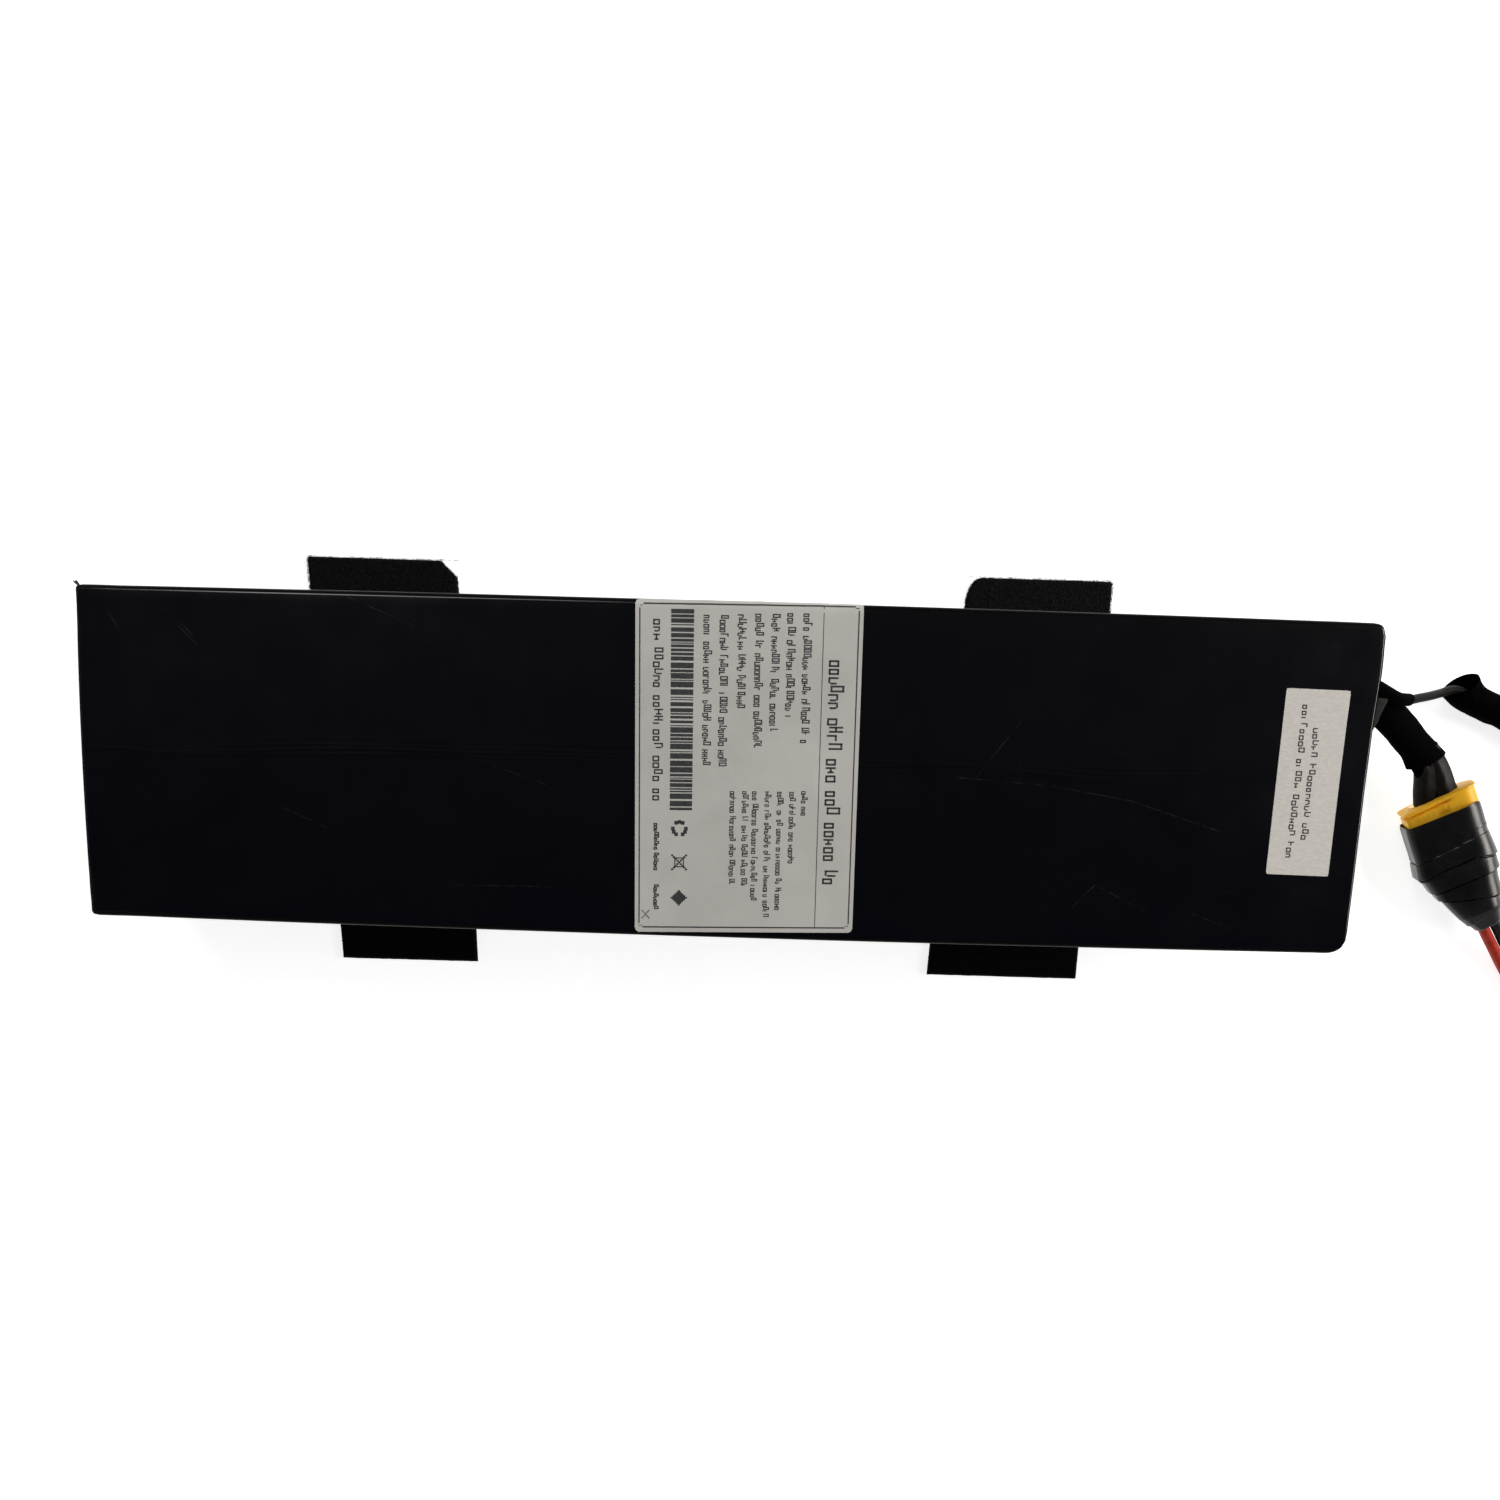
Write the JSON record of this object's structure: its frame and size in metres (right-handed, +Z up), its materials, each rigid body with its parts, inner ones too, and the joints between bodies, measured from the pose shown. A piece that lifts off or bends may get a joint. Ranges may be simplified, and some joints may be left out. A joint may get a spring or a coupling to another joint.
{
  "type": "rechargeable lithium-ion battery pack",
  "caption": "Flat shrink-wrapped cylindrical-cell battery pack on hook-and-loop straps, with a plugged, taped discharge lead and a charge lead.",
  "frame": {"origin": "middle of the pack's footprint, on the surface that the two straps rest on", "axes": "+X along the pack towards the leads, +Y across it, +Z up out of the labelled face"},
  "size_m": [0.399, 0.1158, 0.0411],
  "materials": {
    "black_film": "glossy heat-shrink film",
    "label_paper": "printed silver-grey film",
    "sticker_paper": "printed paper",
    "hook_loop": "fuzzy loop pile on woven nylon",
    "glass_board": "glass-fibre sheet",
    "foam": "closed-cell foam",
    "barley_paper": "insulating paper",
    "white_paper": "insulating paper",
    "cell_can": "printed plastic sleeve over steel can",
    "nickel": "bright strip",
    "circuit_board": "solder mask",
    "chip": "moulded epoxy",
    "ivory_nylon": "moulded nylon",
    "red_wire": "soft insulation",
    "black_wire": "soft insulation",
    "sealant": "cast silicone",
    "black_sheath": "matt sleeve",
    "black_shrink": "heat-shrink tube",
    "yellow_nylon": "moulded nylon",
    "gold_contact": "gold-plated",
    "vinyl_tape": "stretched vinyl tape",
    "black_nylon": "moulded nylon",
    "grey_cable": "soft jacket"
  },
  "bodies": {
    "pack": {"shrink_sleeve": "black_film", "info_label": "label_paper", "warranty_sticker": "sticker_paper", "left_strap": "hook_loop", "right_strap": "hook_loop", "top_board": "glass_board", "bottom_board": "glass_board", "side_boards": "glass_board", "foam_strips": "foam", "insulation_papers": "barley_paper", "end_board_left": "glass_board", "end_foam_left": "foam", "end_board_right": "glass_board", "bms_insulator": "barley_paper", "paper_separators": "barley_paper", "cell_group_01": "cell_can", "cell_group_02": "cell_can", "cell_group_03": "cell_can", "cell_group_04": "cell_can", "cell_group_05": "cell_can", "cell_group_06": "cell_can", "cell_group_07": "cell_can", "cell_group_08": "cell_can", "cell_group_09": "cell_can", "cell_group_10": "cell_can", "cell_caps": "nickel", "insulator_rings": "white_paper", "nickel_links_front": "nickel", "nickel_links_rear": "nickel", "terminal_plates": "nickel", "bms_board": "circuit_board", "bms_mosfets": "chip", "bms_resistors": "chip", "bms_chips": "chip", "balance_header": "ivory_nylon", "balance_plug": "ivory_nylon", "sense_leads": "red_wire", "temperature_probe": "black_wire", "positive_lead": "red_wire", "negative_lead": "black_wire", "charge_wires": "red_wire", "exit_sealant": "sealant", "discharge_cable": "black_sheath", "connector_shrink": "black_shrink", "battery_connector": "yellow_nylon", "battery_contacts": "gold_contact", "charge_lead": "grey_cable", "charge_lead_boot": "black_shrink", "charge_lead_sleeve": "black_sheath", "charge_socket": "black_nylon", "charge_contacts": "gold_contact"},
    "load_plug": {"mating_connector": "yellow_nylon", "mating_pins": "gold_contact", "tape_wrap": "vinyl_tape", "load_wire_red": "red_wire", "load_wire_black": "black_wire", "load_socket": "black_nylon", "load_contacts": "gold_contact"}
  },
  "joints": [
    {"name": "plug_slide", "type": "slide", "parent": "pack", "child": "load_plug", "axis": [0.4226, -0.9063, 0], "range_m": [0, 0.03]}
  ]
}
